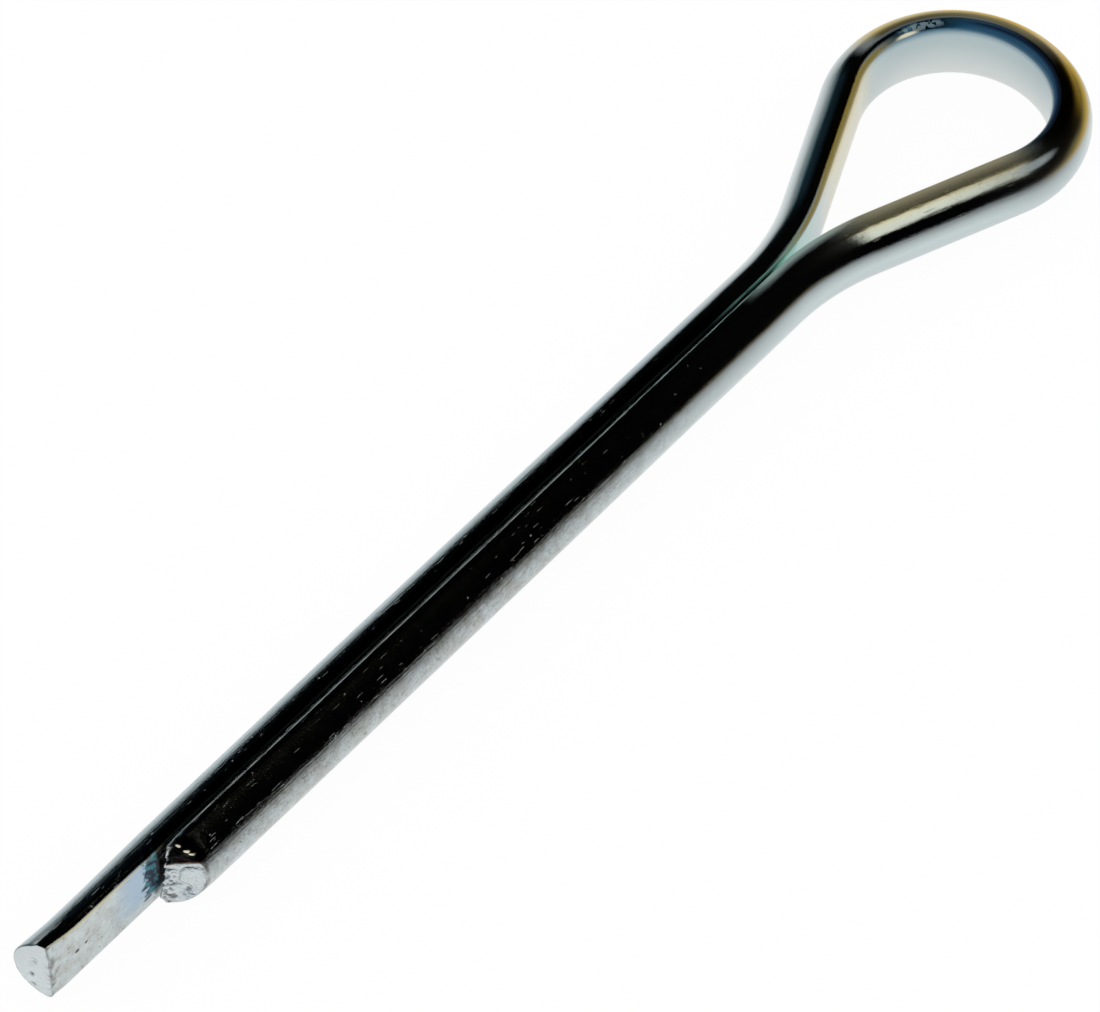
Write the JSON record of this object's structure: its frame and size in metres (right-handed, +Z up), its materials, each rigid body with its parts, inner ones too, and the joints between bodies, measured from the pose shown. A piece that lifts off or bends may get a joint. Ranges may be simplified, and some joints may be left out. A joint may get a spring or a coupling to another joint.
{
  "type": "cotter pin",
  "caption": "Half-round steel wire bent double into a split pin with an open teardrop eye and one leg longer than the other, for locking a castle nut or clevis pin.",
  "frame": {"origin": "on the shank's axis at the crotch, where the necks of the eye leave the shank", "axes": "+X along the shank from the eye towards the tips, +Y in the plane of the eye towards the short leg, +Z up, square to the plane of the eye"},
  "size_m": [0.0526, 0.0096, 0.0028],
  "materials": {
    "zinc_plate": "bright zinc plate over drawn steel wire, with fine lengthwise scratches and faint blue and straw tints"
  },
  "bodies": {
    "root": {"cotter_pin": "zinc_plate"}
  },
  "joints": []
}
